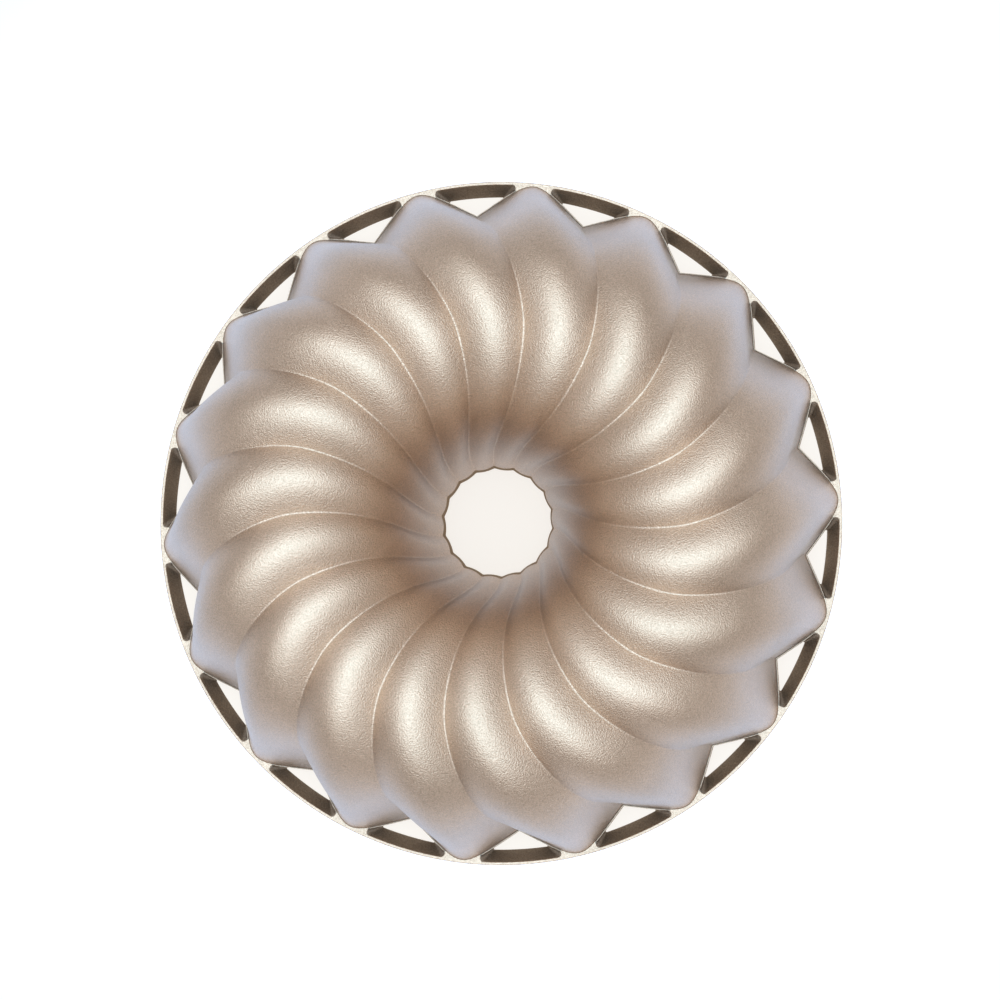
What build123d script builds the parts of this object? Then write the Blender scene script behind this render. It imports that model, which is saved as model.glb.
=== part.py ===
from build123d import *

import os
from collections import namedtuple
from math import cos, radians, sin, tan

# Fluted ring cake pan, cast in aluminium. It lies mouth down on z = 0, with the crest upwards.
# Lengths are in millimetres and angles in degrees. The axis of the pan is Z.

# Driving dimensions
FLUTES = 18
FIRST_NOTCH = 13.9        # angle from +X of the first notch between two flutes
RIM_RADIUS = 130.0        # outside of the ring at the mouth
RIM_THICKNESS = 5.0       # height of the ring
RIM_TOP_WIDTH = 1.2       # flat top of the ring, at its outer edge
RIM_FOOT_WIDTH = 5.3      # width of the ring on the table, because its inner face slopes
WALL = 3.0                # casting thickness
LEDGE = 0.4               # step between the foot of a flute and the window beside it
LINING = 0.4              # release coating, drawn thicker than the real film
LINING_STOP = 0.5         # height above the table at which the coating stops
SECTION_SAG = 0.75        # height of a cubic's middle over the height of its two handles

# One row of control points crosses a flute, from its crease to the next crease.
# radius, height, turn: the crease. lean: way the flute bulges, from 0 outwards to 180 inwards.
# bulge: height of the handles above the chord. flank: slope of the flute's sides to the chord.
# skew: shift of both handles along the chord, which leans the flute towards one side.
Row = namedtuple("Row", "radius height turn lean bulge flank skew")

SKIRT_ROWS = (
    Row(116.6, RIM_THICKNESS, 0.0, 0.0, 18.4, 40.0, 0.0),
    Row(107.0, 33.5, -1.6, 0.0, 13.8, 38.0, -0.3),
    Row(112.0, 77.0, -5.7, 68.0, 14.0, 41.0, -0.3),
    Row(82.0, 81.6, -14.0, 90.0, 8.5, 37.0, -0.5),
)
TUBE_ROWS = (
    Row(52.5, 80.6, -18.3, 90.0, 5.4, 35.0, -1.0),
    Row(30.2, 70.0, -18.2, 139.0, 0.8, 37.0, 0.0),
    Row(31.5, 42.8, -1.1, 175.0, 4.5, 28.0, 0.0),
    Row(20.4, 2.0, 0.0, 180.0, 0.5, 12.0, 0.0),
)

PITCH = 360.0 / FLUTES


def polar(radius, angle, height):
    """A point given by its distance from the axis, its angle and its height."""
    return Vector(radius * cos(radians(angle)), radius * sin(radians(angle)), height)


def section(row, depth):
    """Four control points across a flute, on the surface that lies depth below the outside."""
    at_crease = depth / cos(radians(row.flank))
    radius = row.radius - at_crease * cos(radians(row.lean))
    height = row.height - at_crease * sin(radians(row.lean))
    bulge = row.bulge + (at_crease - depth) / SECTION_SAG
    start_angle = FIRST_NOTCH + row.turn
    start = polar(radius, start_angle, height)
    end = polar(radius, start_angle + PITCH, height)
    outwards = polar(cos(radians(row.lean)), start_angle + PITCH / 2, sin(radians(row.lean)))
    along = (end - start).normalized()
    handle = along * (bulge / tan(radians(row.flank)))
    lift = outwards * bulge + along * row.skew
    return [start, start + handle + lift, end - handle + lift, end]


def skirt_patch(depth):
    """Control points of one flute from the rim to the crest."""
    return [section(row, depth) for row in SKIRT_ROWS] + [crest(depth)]


def tube_patch(depth):
    """Control points of one flute from the crest to the end of the tube."""
    return [crest(depth)] + [section(row, depth) for row in TUBE_ROWS]


def crest(depth):
    """The row half-way between its neighbours, so that the flute runs smoothly over the top."""
    outer, inner = section(SKIRT_ROWS[-1], depth), section(TUBE_ROWS[0], depth)
    return [(a + b) * 0.5 for a, b in zip(outer, inner)]


def at_height(points, height):
    """A row of control points moved straight up or down to one height."""
    return [Vector(point.X, point.Y, height) for point in points]


def bezier_faces(patches):
    """One face for each patch, a list of rows of control points."""
    return [Face.make_bezier_surface(patch) for patch in patches]


def crease_side(outside, inside, end):
    """The face through the wall at a crease. end picks the first or last point of each row."""
    return Face.make_bezier_surface([
        [row[end] for row in outside],
        [row[end] for row in inside[::-1]],
    ])


def closed_solid(faces):
    return Solid(Shell(Face.sew_faces(faces)[0]))


def around_the_axis(shape):
    """Copies of a shape, one for each flute."""
    return [shape.rotate(Axis.Z, flute * PITCH) for flute in range(FLUTES)]


def foot_outline(depth):
    """The outline of the fluted foot as a closed wire on the table."""
    row = at_height(section(SKIRT_ROWS[0], depth), 0.0)
    return Wire(around_the_axis(Edge.make_bezier(*row)))


def make_outer_wall():
    """Fluted skirt from the table to the crest, with a small ledge around its foot.

    Each flute is one solid, and meets its neighbours face to face in the creases.
    """
    outside = skirt_patch(0.0)
    inside = skirt_patch(WALL)[::-1]
    ledge = section(SKIRT_ROWS[0], -LEDGE)
    foot_outside = at_height(ledge, 0.0)
    foot_inside = at_height(inside[-1], 0.0)
    faces = bezier_faces([
        outside,
        [outside[-1], inside[0]],
        inside,
        [inside[-1], foot_inside],
        [foot_inside, foot_outside],
        [foot_outside, ledge],
        [ledge, outside[0]],
    ])
    for end in (0, -1):
        loop = (foot_outside, ledge, outside[0], inside[-1], foot_inside)
        faces.append(crease_side(outside, inside, end))
        faces.append(Face(Wire.make_polygon([row[end] for row in loop], close=True)))
    return Compound(around_the_axis(closed_solid(faces)))


def make_centre_tube():
    """Fluted funnel from the crest down to the open end of the tube, one solid per flute."""
    outside = tube_patch(0.0)
    inside = tube_patch(WALL)[::-1]
    faces = bezier_faces([
        outside,
        [outside[-1], inside[0]],
        inside,
        [inside[-1], outside[0]],
    ])
    for end in (0, -1):
        faces.append(crease_side(outside, inside, end))
    return Compound(around_the_axis(closed_solid(faces)))


def make_nonstick_lining():
    """Release coating all over the inside, from the rim over the crest to the tube's end."""
    deep = WALL + LINING
    skirt, tube = skirt_patch(WALL), tube_patch(WALL)
    inner_skirt, inner_tube = skirt_patch(deep)[::-1], tube_patch(deep)[::-1]
    foot = at_height(skirt[0], LINING_STOP)
    inner_foot = at_height(inner_skirt[-1], LINING_STOP)
    flute = bezier_faces([
        [foot, skirt[0]],
        skirt,
        tube,
        [tube[-1], inner_tube[0]],
        inner_tube,
        inner_skirt,
        [inner_skirt[-1], inner_foot],
        [inner_foot, foot],
    ])
    return closed_solid([turned for face in flute for turned in around_the_axis(face)])


def make_rim_ring():
    """Ring around the mouth. It joins the flute tips and leaves a window at each notch."""
    profile = Polyline(
        (RIM_RADIUS, 0, 0),
        (RIM_RADIUS, 0, RIM_THICKNESS),
        (RIM_RADIUS - RIM_TOP_WIDTH, 0, RIM_THICKNESS),
        (RIM_RADIUS - RIM_FOOT_WIDTH, 0, 0),
        close=True,
    )
    ring = revolve(make_face(profile), Axis.Z)
    foot = extrude(Face(foot_outline(-LEDGE)), RIM_THICKNESS)
    return ring - foot


def main():
    os.makedirs("parts", exist_ok=True)
    nodes = {
        "outer_wall": make_outer_wall(),
        "centre_tube": make_centre_tube(),
        "rim_ring": make_rim_ring(),
        "nonstick_lining": make_nonstick_lining(),
    }
    for name, shape in nodes.items():
        export_step(shape, f"parts/{name}.step")


main()
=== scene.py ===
from collections import namedtuple
from math import comb, cos, pi, radians, sin, tan

import bmesh
import bpy
import numpy as np
from mathutils import Matrix, Vector


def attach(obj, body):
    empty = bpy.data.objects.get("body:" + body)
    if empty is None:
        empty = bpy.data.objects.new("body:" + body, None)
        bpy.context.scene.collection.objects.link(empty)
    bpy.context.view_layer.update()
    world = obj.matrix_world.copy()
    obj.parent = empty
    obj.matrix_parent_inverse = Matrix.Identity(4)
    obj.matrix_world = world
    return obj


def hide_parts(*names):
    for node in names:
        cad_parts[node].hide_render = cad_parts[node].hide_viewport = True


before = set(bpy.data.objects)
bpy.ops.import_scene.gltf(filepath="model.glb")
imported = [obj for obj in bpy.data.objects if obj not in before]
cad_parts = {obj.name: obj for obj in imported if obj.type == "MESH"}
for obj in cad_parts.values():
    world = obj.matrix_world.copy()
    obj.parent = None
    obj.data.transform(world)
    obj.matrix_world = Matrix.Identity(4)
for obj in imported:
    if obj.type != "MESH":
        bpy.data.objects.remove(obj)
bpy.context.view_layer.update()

# Fluted ring cake pan, mouth down on the table, seen from above.
# Lengths are in millimetres and angles in degrees, as in part.py, whose rows of flutes are
# repeated here. MM turns millimetres into metres. The studio at the end is in metres.
MM = 0.001

FLUTES = 18
PITCH = 360.0 / FLUTES
FIRST_NOTCH = 13.9
RIM_THICKNESS = 5.0
RIM_RADIUS = 130.0
WALL = 3.0
LINING = 0.4
LINING_STOP = 0.5
SECTION_SAG = 0.75

Row = namedtuple("Row", "radius height turn lean bulge flank skew")

SKIRT_ROWS = (
    Row(116.6, RIM_THICKNESS, 0.0, 0.0, 18.4, 40.0, 0.0),
    Row(107.0, 33.5, -1.6, 0.0, 13.8, 38.0, -0.3),
    Row(112.0, 77.0, -5.7, 68.0, 14.0, 41.0, -0.3),
    Row(82.0, 81.6, -14.0, 90.0, 8.5, 37.0, -0.5),
)
TUBE_ROWS = (
    Row(52.5, 80.6, -18.3, 90.0, 5.4, 35.0, -1.0),
    Row(30.2, 70.0, -18.2, 139.0, 0.8, 37.0, 0.0),
    Row(31.5, 42.8, -1.1, 175.0, 4.5, 28.0, 0.0),
    Row(20.4, 2.0, 0.0, 180.0, 0.5, 12.0, 0.0),
)

# Roundings and small steps of the casting, in millimetres
CREASE_ROUNDING = 0.5      # from a crease to where its fillet ends
LARGEST_FILLET = 0.12      # share of a flute's width that a fillet may take
TUBE_END_ROUNDING = 0.5
# past this share the tube's rounded end takes the darker brown that paints shade
TUBE_END = 0.972           # share of the tube's length that is painted
# the rounded end: share of the rounding that it is inset, and share of the tube's length
TUBE_END_ARC = ((0.13, 0.994), (0.5, 0.998), (1.0, 1.0))
RIM_EDGE_ROUNDING = 0.4
WINDOW_EDGE = 0.15         # chamfer around a window
WINDOW_TOP_RADIUS = 128.8  # outer edge of a window, on top of the ring
WINDOW_FOOT_RADIUS = 124.7
LEDGE_TOP = 0.45           # ledge beside a flute, on top of the ring
LEDGE_FOOT = 0.9
WINDOW_CORNER_TOP = 1.4
WINDOW_CORNER_FOOT = 0.4
WINDOW_APEX = 0.5
GROOVE_WIDTH = 0.1         # fine line around the foot of the flutes
GROOVE_DEPTH = 0.3

# Number of mesh steps
ACROSS = 30                # over one flute
ACROSS_CREASE = 7          # over one crease
ALONG_SKIRT = 90
ALONG_TUBE = 72
ALONG_INSIDE = 30          # over each part of a face that another piece covers
ALONG_LINING = 50
FINE_STEPS = 400           # over half the foot of a flute, to look up places on it
WINDOW_LEVELS = 8          # down the wall of a window
RIM_TOP_STEPS, RIM_FOOT_STEPS = 5, 4   # over the ring's rounded edges
FLUTE_SHARP = 50.0         # edges that turn by more degrees than this are shaded sharp
RIM_SHARP = 25.0
SAME_POINT = 0.001         # points closer than this are one, in millimetres


# ---------------------------------------------------------------- flutes

def polar(radius, angle, height):
    return np.array([radius * cos(radians(angle)), radius * sin(radians(angle)), height])


def section(row, depth, notch=FIRST_NOTCH):
    """Four control points across a flute, on the surface that lies depth below the outside."""
    at_crease = depth / cos(radians(row.flank))
    radius = row.radius - at_crease * cos(radians(row.lean))
    height = row.height - at_crease * sin(radians(row.lean))
    bulge = row.bulge + (at_crease - depth) / SECTION_SAG
    start_angle = notch + row.turn
    start = polar(radius, start_angle, height)
    end = polar(radius, start_angle + PITCH, height)
    outwards = polar(cos(radians(row.lean)), start_angle + PITCH / 2, sin(radians(row.lean)))
    along = (end - start) / np.linalg.norm(end - start)
    handle = along * (bulge / tan(radians(row.flank)))
    lift = outwards * bulge + along * row.skew
    return np.array([start, start + handle + lift, end - handle + lift, end])


def crest(depth):
    """The row half-way between its neighbours, so that the flute runs smoothly over the top."""
    return (section(SKIRT_ROWS[-1], depth) + section(TUBE_ROWS[0], depth)) / 2


def skirt_patch(depth):
    return np.array([section(row, depth) for row in SKIRT_ROWS] + [crest(depth)])


def tube_patch(depth):
    return np.array([crest(depth)] + [section(row, depth) for row in TUBE_ROWS])


def bernstein(degree, t):
    """Weights of a Bezier curve's control points, one row for each t."""
    t = np.asarray(t, float)
    return np.stack([comb(degree, i) * t**i * (1 - t)**(degree - i) for i in range(degree + 1)], -1)


def turned(points, angle):
    """Points turned about the pan's axis."""
    c, s = cos(radians(angle)), sin(radians(angle))
    return np.asarray(points) @ np.array([[c, s, 0], [-s, c, 0], [0, 0, 1]])


def flute_rings(patch, along, rounding=CREASE_ROUNDING):
    """Closed rings of points around the pan, one for each place along the flutes.

    Each crease is rounded by a short parabola between the two flutes that meet in it.
    """
    rings = []
    for weights in bernstein(len(patch) - 1, along):
        row = np.tensordot(weights, patch, 1)
        reach = 3 * np.linalg.norm(row[1] - row[0])
        edge = min(rounding / reach, LARGEST_FILLET)
        spacing = (1 - np.cos(np.linspace(0, pi, ACROSS))) / 2
        inside = bernstein(3, edge + (1 - 2 * edge) * spacing) @ row
        before, corner, after = turned(inside[-1], -PITCH), row[0], inside[0]
        crease = bernstein(2, np.arange(1, ACROSS_CREASE) / ACROSS_CREASE) @ np.array(
            [before, corner, after])
        flute = np.concatenate([crease, inside])
        rings.append(np.concatenate([turned(flute, i * PITCH) for i in range(FLUTES)]))
    return np.array(rings)


def at_height(ring, height):
    moved = ring.copy()
    moved[:, 2] = height
    return moved


def ring_normals(rings):
    """Outward normals of a stack of closed rings."""
    along = np.gradient(rings, axis=0)
    across = np.roll(rings, -1, axis=1) - np.roll(rings, 1, axis=1)
    normals = np.cross(across, along)
    return normals / np.linalg.norm(normals, axis=2, keepdims=True)


def solid_of_rings(name, rings, normals=None, painted_shade_rings=range(0)):
    """A closed solid from a loop of closed rings.

    normals are for the first rings in the list. The rings in the last argument start the second
    material below them, a darker brown that paints shade.
    """
    rings = np.array(rings)
    count, around = rings.shape[:2]
    here = np.arange(count * around).reshape(count, around)
    below, right = np.roll(here, -1, axis=0), np.roll(here, -1, axis=1)
    diagonal = np.roll(below, -1, axis=1)
    quads = np.stack([here, right, diagonal, below], -1).reshape(-1, 4)
    mesh = bpy.data.meshes.new(name)
    mesh.from_pydata((rings.reshape(-1, 3) * MM).tolist(), [], quads.tolist())
    finishes = np.isin(np.arange(count), painted_shade_rings).astype(np.int32)
    mesh.polygons.foreach_set("material_index", np.repeat(finishes, around))
    mesh.shade_smooth()
    mesh.set_sharp_from_angle(angle=radians(FLUTE_SHARP))
    if normals is not None:
        custom = np.zeros((count * around, 3))
        custom[:around * len(normals)] = normals.reshape(-1, 3)
        mesh.normals_split_custom_set_from_vertices(custom.tolist())
    mesh.update()
    piece = bpy.data.objects.new(name, mesh)
    bpy.context.scene.collection.objects.link(piece)
    return piece


def make_skirt(outer, normals):
    """Outer wall of the pan, from the table up to the crest."""
    inner = flute_rings(skirt_patch(WALL), np.linspace(1, 0, ALONG_INSIDE))
    rings = [*outer, *inner, at_height(inner[-1], 0.0), at_height(outer[0], 0.0)]
    return solid_of_rings("skirt", rings, normals)


def make_funnel(outer, normals):
    """Centre tube of the pan, from the crest down to its rounded open end."""
    inner = flute_rings(tube_patch(WALL), np.linspace(1, 0, ALONG_INSIDE))
    end = [
        flute_rings(tube_patch(TUBE_END_ROUNDING * inset), [place])[0]
        for inset, place in TUBE_END_ARC
    ]
    # from the last outer ring over the rounded end, the darker brown paints shade
    first_painted_shade = len(outer) - 1
    painted_shade_rings = range(first_painted_shade, first_painted_shade + len(end) + 1)
    return solid_of_rings("funnel", [*outer, *end, *inner], normals, painted_shade_rings)


def make_lining():
    """Release coating over the whole inside."""
    faces = []
    for depth, steps in ((WALL, ALONG_INSIDE // 2), (WALL + LINING, ALONG_LINING)):
        skirt = flute_rings(skirt_patch(depth), np.linspace(0, 1, steps))
        tube = flute_rings(tube_patch(depth), np.linspace(0, 1, steps))
        faces.append([at_height(skirt[0], LINING_STOP), *skirt, *tube[1:]])
    hidden, shown = faces
    return solid_of_rings("release_lining", [*hidden, *shown[::-1]])


# ---------------------------------------------------------------- ring with its windows

APEX_STEPS, FLANK_STEPS, CORNER_STEPS, ARC_STEPS, TIP_STEPS = 5, 14, 10, 16, 12
# the second slot is a darker brown that paints shade: on the windows' walls, on the ledges beside
# the flutes and on the tube's end
PAINTED, PAINTED_SHADE = 0, 1       # material slots of the outside


def azimuths(points):
    return np.arctan2(points[:, 1], points[:, 0])


def on_circle(radius, angles):
    """Points in the plane on a circle about the axis; angles in radians."""
    return radius * np.stack([np.cos(angles), np.sin(angles)], -1)


def flank_curve(offset):
    """One side of a flute's foot from its notch to its tip, moved out by offset.

    The notch lies on +X. Also gives the normals, which point into the window.
    """
    row = section(SKIRT_ROWS[0], -offset, notch=0.0)
    places = np.linspace(0, 0.5, FINE_STEPS)
    points = (bernstein(3, places) @ row)[:, :2]
    tangents = np.gradient(points, axis=0)
    tangents /= np.linalg.norm(tangents, axis=1, keepdims=True)
    return points, np.stack([tangents[:, 1], -tangents[:, 0]], -1)


def sample(points, index):
    """Points at fractional places of a curve."""
    whole = np.arange(len(points))
    return np.stack([np.interp(index, whole, points[:, k]) for k in range(2)], -1)


def rounded_flank(offset, apex, end_index, steps=FLANK_STEPS):
    """Foot of a flute from the middle of its notch, which is rounded, to a place on its side."""
    points, normals = flank_curve(offset)
    centres = points + apex * normals
    start = np.interp(0.0, centres[:, 1], np.arange(len(points)))
    centre = sample(centres, start)
    touch = sample(points, start) - centre
    touch_angle = np.arctan2(touch[1], touch[0])
    arc = centre + on_circle(apex, np.linspace(pi, touch_angle, APEX_STEPS))
    side = sample(points, np.linspace(start, end_index, steps + 1)[1:])
    return np.concatenate([arc, side])


def half_window(offset, radius, corner, apex):
    """Half the outline of a window, from its apex over a rounded corner to the outer edge."""
    points, normals = flank_curve(offset)
    centres = points + corner * normals
    reach = np.linalg.norm(centres, axis=1)
    index = np.interp(radius - corner, reach, np.arange(len(points)))
    centre = sample(centres, index)
    touch = sample(points, index) - centre
    outer_angle = np.arctan2(centre[1], centre[0])
    turn = np.linspace(np.arctan2(touch[1], touch[0]), outer_angle, CORNER_STEPS + 1)
    arc = on_circle(radius, np.linspace(outer_angle, 0, ARC_STEPS + 1))
    return np.concatenate([
        rounded_flank(offset, apex, index),
        (centre + on_circle(corner, turn))[1:],
        arc[1:],
    ])


def lifted(points, height):
    """Points in the plane, at a height."""
    return np.column_stack([points, np.full(len(points), height)])


def make_rim():
    """Flat ring around the mouth with a window in each notch.

    Half a sector is made from the notch to the middle of a flute, then mirrored and repeated.
    """
    vertices, faces, finishes = [], [], []

    def add(points):
        first = len(vertices)
        vertices.extend(points)
        return list(range(first, first + len(points)))

    def strip(a, b, finish=PAINTED):
        for i in range(len(a) - 1):
            faces.append((a[i], a[i + 1], b[i + 1], b[i]))
            finishes.append(finish)

    # outline of the window from the top of the ring to its foot: share, growth, height
    edge = WINDOW_EDGE
    levels = [(0.0, edge, RIM_THICKNESS)]
    for share in np.linspace(0, 1, WINDOW_LEVELS):
        levels.append((share, 0.0, (RIM_THICKNESS - edge / 2) * (1 - share) + edge * share))
    levels.append((1.0, edge, 0.0))
    outlines = []
    for share, grow, height in levels:
        outline = half_window(
            LEDGE_TOP + (LEDGE_FOOT - LEDGE_TOP) * share - grow,
            WINDOW_TOP_RADIUS + (WINDOW_FOOT_RADIUS - WINDOW_TOP_RADIUS) * share + grow,
            WINDOW_CORNER_TOP + (WINDOW_CORNER_FOOT - WINDOW_CORNER_TOP) * share + grow,
            WINDOW_APEX + grow,
        )
        outlines.append(add(lifted(outline, height)))
    # below its top chamfer the window's wall takes the darker brown: painted shade
    for upper, lower in zip(outlines, outlines[1:]):
        strip(upper, lower, PAINTED_SHADE if upper is not outlines[0] else PAINTED)

    # outside of the ring, top to bottom
    rounding = RIM_EDGE_ROUNDING
    profile = [
        (RIM_RADIUS - rounding * (1 - sin(a)), RIM_THICKNESS - rounding * (1 - cos(a)))
        for a in np.linspace(0, pi / 2, RIM_TOP_STEPS)
    ] + [
        (RIM_RADIUS - rounding / 2 * (1 - cos(a)), rounding / 2 * (1 - sin(a)))
        for a in np.linspace(0, pi / 2, RIM_FOOT_STEPS)
    ]
    # the widest place of the window divides the flat faces of the ring
    bearings = [azimuths(np.array([vertices[i] for i in outlines[k]])) for k in (0, -1)]
    corner_index = int(np.argmax(bearings[0]))
    rim_rings = []
    angles = np.concatenate([
        np.linspace(radians(PITCH / 2), bearings[0].max(), TIP_STEPS + 1),
        np.linspace(bearings[0].max(), 0, len(outlines[0]) - corner_index)[1:],
    ])
    for radius, height in profile:
        rim_rings.append(add(lifted(on_circle(radius, angles), height)))
    for upper, lower in zip(rim_rings, rim_rings[1:]):
        strip(lower, upper)

    # inside of the ring, which meets the foot of the flutes
    feet = []
    for offset, height, widest in (
        (GROOVE_WIDTH, RIM_THICKNESS, bearings[0]),
        (0.0, RIM_THICKNESS - GROOVE_DEPTH, bearings[0]),
        (0.0, 0.0, bearings[1]),
    ):
        points, _ = flank_curve(offset)
        end = np.interp(widest.max(), azimuths(points), np.arange(len(points)))
        side = rounded_flank(offset, CREASE_ROUNDING, end, corner_index + 1 - APEX_STEPS)
        tip = sample(points, np.linspace(end, len(points) - 1, TIP_STEPS + 1))[1:]
        feet.append(add(lifted(np.concatenate([side, tip]), height)))
    for upper, lower in zip(feet, feet[1:]):
        strip(lower, upper)

    # flat top and bottom
    for foot, outline, rim in ((feet[0], outlines[0], rim_rings[0]),
                               (feet[-1], outlines[-1], rim_rings[-1])):
        # the ledge beside the flute takes the darker brown: a painted line of shade
        strip(foot[:corner_index + 1], outline[:corner_index + 1], PAINTED_SHADE)
        strip(outline[corner_index:], rim[TIP_STEPS:])
        faces.append((foot[corner_index], outline[corner_index], rim[TIP_STEPS]))
        finishes.append(PAINTED)
        strip(foot[corner_index:], rim[:TIP_STEPS + 1][::-1])

    half = np.array(vertices)
    whole, all_faces = [], []
    for flute in range(FLUTES):
        for side in (1, -1):
            first = sum(len(part) for part in whole)
            whole.append(turned(half * (1, side, 1), FIRST_NOTCH + flute * PITCH))
            for face in faces:
                corners = [first + corner for corner in face]
                all_faces.append(corners if side > 0 else corners[::-1])
    mesh = bpy.data.meshes.new("rim")
    mesh.from_pydata((np.concatenate(whole) * MM).tolist(), [], all_faces)
    mesh.polygons.foreach_set("material_index", finishes * 2 * FLUTES)
    piece = bpy.data.objects.new("rim", mesh)
    bpy.context.scene.collection.objects.link(piece)
    sew(mesh)
    piece.data.shade_smooth()
    piece.data.set_sharp_from_angle(angle=radians(RIM_SHARP))
    weighted = piece.modifiers.new("weighted", "WEIGHTED_NORMAL")
    weighted.keep_sharp = True
    apply_modifiers(piece)
    return piece


def sew(mesh):
    """Joins the points that sectors share, drops slivers, and turns all faces outwards."""
    whole = bmesh.new()
    whole.from_mesh(mesh)
    bmesh.ops.remove_doubles(whole, verts=whole.verts, dist=SAME_POINT * MM)
    bmesh.ops.dissolve_degenerate(whole, edges=whole.edges, dist=SAME_POINT * MM)
    bmesh.ops.recalc_face_normals(whole, faces=whole.faces)
    whole.to_mesh(mesh)
    whole.free()


def apply_modifiers(piece):
    """Replaces a piece's mesh by what its modifiers make of it."""
    graph = bpy.context.evaluated_depsgraph_get()
    done = bpy.data.meshes.new_from_object(piece.evaluated_get(graph), depsgraph=graph)
    piece.modifiers.clear()
    piece.data = done


# ---------------------------------------------------------------- materials

def node(tree, kind, **sockets):
    """A shader node with some of its inputs set or linked."""
    made = tree.nodes.new(kind)
    for name, value in sockets.items():
        socket = made.inputs[name.replace("_", " ")]
        if isinstance(value, bpy.types.NodeSocket):
            tree.links.new(value, socket)
        else:
            socket.default_value = value
    return made


def ramp(tree, value, stops):
    """A colour ramp, from (position, colour) stops."""
    made = node(tree, "ShaderNodeValToRGB", Fac=value)
    elements = made.color_ramp.elements
    while len(elements) < len(stops):
        elements.new(0.5)
    for element, (position, colour) in zip(elements, stops):
        element.position = position
        element.color = (*colour, 1.0)
    return made.outputs["Color"]


def spread(tree, noise, low, high, to_low, to_high):
    """A noise whose values from low to high are stretched to another range."""
    return node(tree, "ShaderNodeMapRange", Value=noise.outputs["Fac"], From_Min=low,
                From_Max=high, To_Min=to_low, To_Max=to_high).outputs["Result"]


CLOUDS_PER_METRE, FLAKES_PER_METRE, GRAINS_PER_METRE = 28.0, 1500.0, 1900.0


def metallic_coating(name, dark, light, roughness, grain, edge, coat=0.0):
    """Satin metallic paint with a fine grain, under a clear coat where coat is over 0.

    Speckles run from the dark to the light colour, darker in the grain's hollows and lighter on its
    tops (partly the paint's own speckle, partly painted shade and highlight of the grain), and
    stronger in some clouds than in others.
    roughness is its range, grain the height of the bumps in millimetres, and edge the tint at
    grazing angles.
    """
    material = bpy.data.materials.new(name)
    material.use_nodes = True
    tree = material.node_tree
    tree.nodes.clear()
    place = node(tree, "ShaderNodeTexCoord").outputs["Object"]
    clouds = node(tree, "ShaderNodeTexNoise", Vector=place, Scale=CLOUDS_PER_METRE,
                  Detail=5.0, Roughness=0.6)
    flakes = node(tree, "ShaderNodeTexNoise", Vector=place, Scale=FLAKES_PER_METRE,
                  Detail=2.0, Roughness=0.6)
    peel = node(tree, "ShaderNodeTexNoise", Vector=place, Scale=GRAINS_PER_METRE,
                Detail=2.0, Roughness=0.5)
    lows = spread(tree, clouds, 0.35, 0.65, 0.12, 0.28)
    highs = spread(tree, clouds, 0.35, 0.65, 0.72, 0.88)
    # the speckle follows the same noise as the bumps: partly the paint's own speckle, partly
    # painted shade in the grain's hollows and painted highlight on its tops
    colour = ramp(tree, spread(tree, peel, 0.3, 0.7, lows, highs), ((0.0, dark), (1.0, light)))
    gloss = spread(tree, flakes, 0.3, 0.7, *roughness)
    bump = node(tree, "ShaderNodeBump", Strength=1.0, Distance=grain * MM,
                Height=peel.outputs["Fac"])
    shader = node(
        tree, "ShaderNodeBsdfPrincipled", Base_Color=colour, Metallic=1.0,
        Roughness=gloss, Specular_Tint=(*edge, 1.0),
        Coat_Weight=coat, Coat_Roughness=0.38, Coat_IOR=1.5,
        Normal=bump.outputs["Normal"], Coat_Normal=bump.outputs["Normal"])
    out = node(tree, "ShaderNodeOutputMaterial")
    tree.links.new(shader.outputs["BSDF"], out.inputs["Surface"])
    return material


def table_material(name, colour, glow):
    """Matt table that glows, as for pictures with a white background.

    glow gives its light at some distances from the pan's axis, in metres.
    """
    material = bpy.data.materials.new(name)
    material.use_nodes = True
    tree = material.node_tree
    shader = tree.nodes["Principled BSDF"]
    place = node(tree, "ShaderNodeTexCoord").outputs["Object"]
    distance = node(tree, "ShaderNodeVectorMath", Vector=place)
    distance.operation = "LENGTH"
    light = ramp(tree, distance.outputs["Value"], glow)
    tree.links.new(light, shader.inputs["Emission Color"])
    shader.inputs["Base Color"].default_value = (*colour, 1.0)
    shader.inputs["Roughness"].default_value = 1.0
    shader.inputs["Specular IOR Level"].default_value = 0.0
    shader.inputs["Emission Strength"].default_value = GLOW
    return material


# ---------------------------------------------------------------- studio

# in metres
SHADED_RADIUS = 0.127      # table under the pan, which glows less; the ring hides its edge
TABLE_RADIUS = 15.0
TABLE_SIDES = 96
GLOW = 1.5                 # strength of the table's light
SKY = 4.05                 # strength of the dome's light

UNDER_PAN = (0.527, 0.493, 0.46)
FAR_TABLE = (0.20, 0.20, 0.20)


def aim(camera, position, target):
    """Puts the camera in place, with +Y of the frame upwards in its view."""
    forward = (Vector(target) - Vector(position)).normalized()
    right = forward.cross(Vector((0, 1, 0))).normalized()
    axes = Matrix((right, right.cross(forward), -forward)).transposed()
    camera.matrix_world = Matrix.Translation(position) @ axes.to_4x4()


def make_camera():
    """Camera above the pan, a little towards +X from its axis."""
    data = bpy.data.cameras.new("camera")
    data.lens = 76.5
    data.sensor_width = 36.0
    data.clip_start, data.clip_end = 0.01, 20.0
    camera = bpy.data.objects.new("camera", data)
    bpy.context.scene.collection.objects.link(camera)
    aim(camera, (0.0508, -0.0091, 0.8113), (0.0008, 0.0085, 0.005))
    bpy.context.scene.camera = camera


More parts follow.
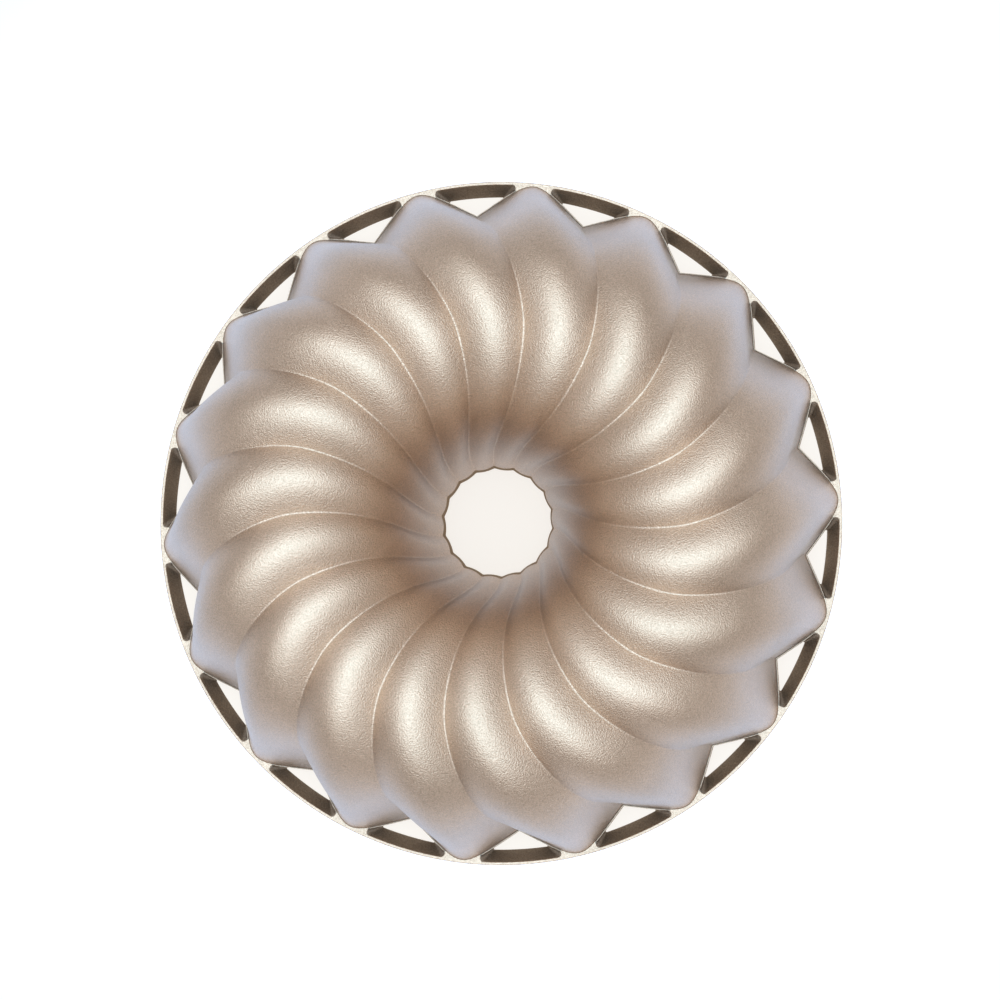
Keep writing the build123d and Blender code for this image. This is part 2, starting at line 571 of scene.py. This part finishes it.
def sky():
    """Soft dome of light, cool and bright overhead, and dim near the table."""
    world = bpy.data.worlds.new("studio")
    world.use_nodes = True
    tree = world.node_tree
    tree.nodes.clear()
    direction = node(tree, "ShaderNodeTexCoord").outputs["Generated"]
    height = node(tree, "ShaderNodeSeparateXYZ", Vector=direction).outputs["Z"]
    light = ramp(tree, height, (
        (0.00, (0.12, 0.122, 0.125)),
        (0.08, (0.085, 0.083, 0.085)),
        (0.34, (0.075, 0.066, 0.07)),
        (0.67, (0.33, 0.37, 0.43)),
        (0.91, (0.44, 0.61, 0.79)),
        (1.00, (0.49, 0.73, 1.00)),
    ))
    background = node(tree, "ShaderNodeBackground", Color=light, Strength=SKY)
    out = node(tree, "ShaderNodeOutputWorld")
    tree.links.new(background.outputs["Background"], out.inputs["Surface"])
    return world


def make_studio():
    """Table in two parts, the dome of light around it, and how colours are shown."""
    angles = np.linspace(0, 2 * pi, TABLE_SIDES, endpoint=False)
    edges = [lifted(on_circle(radius, angles), 0.0) for radius in (SHADED_RADIUS, TABLE_RADIUS)]
    inner = np.arange(TABLE_SIDES)
    after = (inner + 1) % TABLE_SIDES
    outer_faces = np.stack([inner, inner + TABLE_SIDES, after + TABLE_SIDES, after], -1)
    mesh = bpy.data.meshes.new("floor")
    mesh.from_pydata(
        np.concatenate(edges).tolist(), [], [inner.tolist(), *outer_faces.tolist()])
    # under the pan the table glows warm: painted light on what shows through the hole and the
    # windows
    mesh.materials.append(table_material(
        "shaded_table", (0.20, 0.18, 0.15), ((0.0, UNDER_PAN), (1.0, UNDER_PAN))))
    # just outside the pan the table glows brightest and bluish: painted light that the pan's steep
    # walls reflect
    mesh.materials.append(table_material("light_table", (0.16, 0.16, 0.16), (
        (0.135, (0.74, 0.82, 0.98)),
        (0.16, (0.57, 0.61, 0.66)),
        (0.27, (0.54, 0.55, 0.57)),
        (0.42, FAR_TABLE),
        (1.00, FAR_TABLE))))
    mesh.polygons.foreach_set("material_index", [0] + [1] * TABLE_SIDES)
    floor = bpy.data.objects.new("floor", mesh)
    bpy.context.scene.collection.objects.link(floor)

    bpy.context.scene.world = sky()

    view = bpy.context.scene.view_settings
    view.view_transform = "Standard"
    view.look = "None"


# ---------------------------------------------------------------- the pan

outside = metallic_coating("champagne_coating", (0.445, 0.314, 0.208), (0.81, 0.575, 0.400),
                           roughness=(0.38, 0.50), grain=0.24, edge=(0.53, 0.73, 1.0),
                           coat=0.3)
# darker brown that paints the shade in the windows, along the ledges beside the flutes and on the
# tube's end
painted_shade_brown = metallic_coating("painted_shade_brown", (0.20, 0.15, 0.105), (0.40, 0.31, 0.23),
                            roughness=(0.45, 0.60), grain=0.12, edge=(0.5, 0.42, 0.35))
inside = metallic_coating("release_coating", (0.47, 0.37, 0.285), (0.58, 0.45, 0.345),
                          roughness=(0.42, 0.5), grain=0.02, edge=(0.85, 0.93, 1.0))

skirt_rings = flute_rings(skirt_patch(0.0), np.linspace(0, 1, ALONG_SKIRT))
tube_rings = flute_rings(tube_patch(0.0), np.linspace(0, TUBE_END, ALONG_TUBE))
outer_normals = ring_normals(np.concatenate([skirt_rings, tube_rings[1:]]))
skirt = make_skirt(skirt_rings, outer_normals[:ALONG_SKIRT])
funnel = make_funnel(tube_rings, outer_normals[ALONG_SKIRT - 1:])
rim = make_rim()
lining = make_lining()

for piece, cad_node, slot, materials in (
    (skirt, "outer_wall", "outside_coating", [outside]),
    (funnel, "centre_tube", "outside_coating", [outside, painted_shade_brown]),
    (rim, "rim_ring", "outside_coating", [outside, painted_shade_brown]),
    (lining, "nonstick_lining", "release_coating", [inside]),
):
    for material in materials:
        piece.data.materials.append(material)
    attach(piece, "root")
    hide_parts(cad_node)

make_camera()
make_studio()
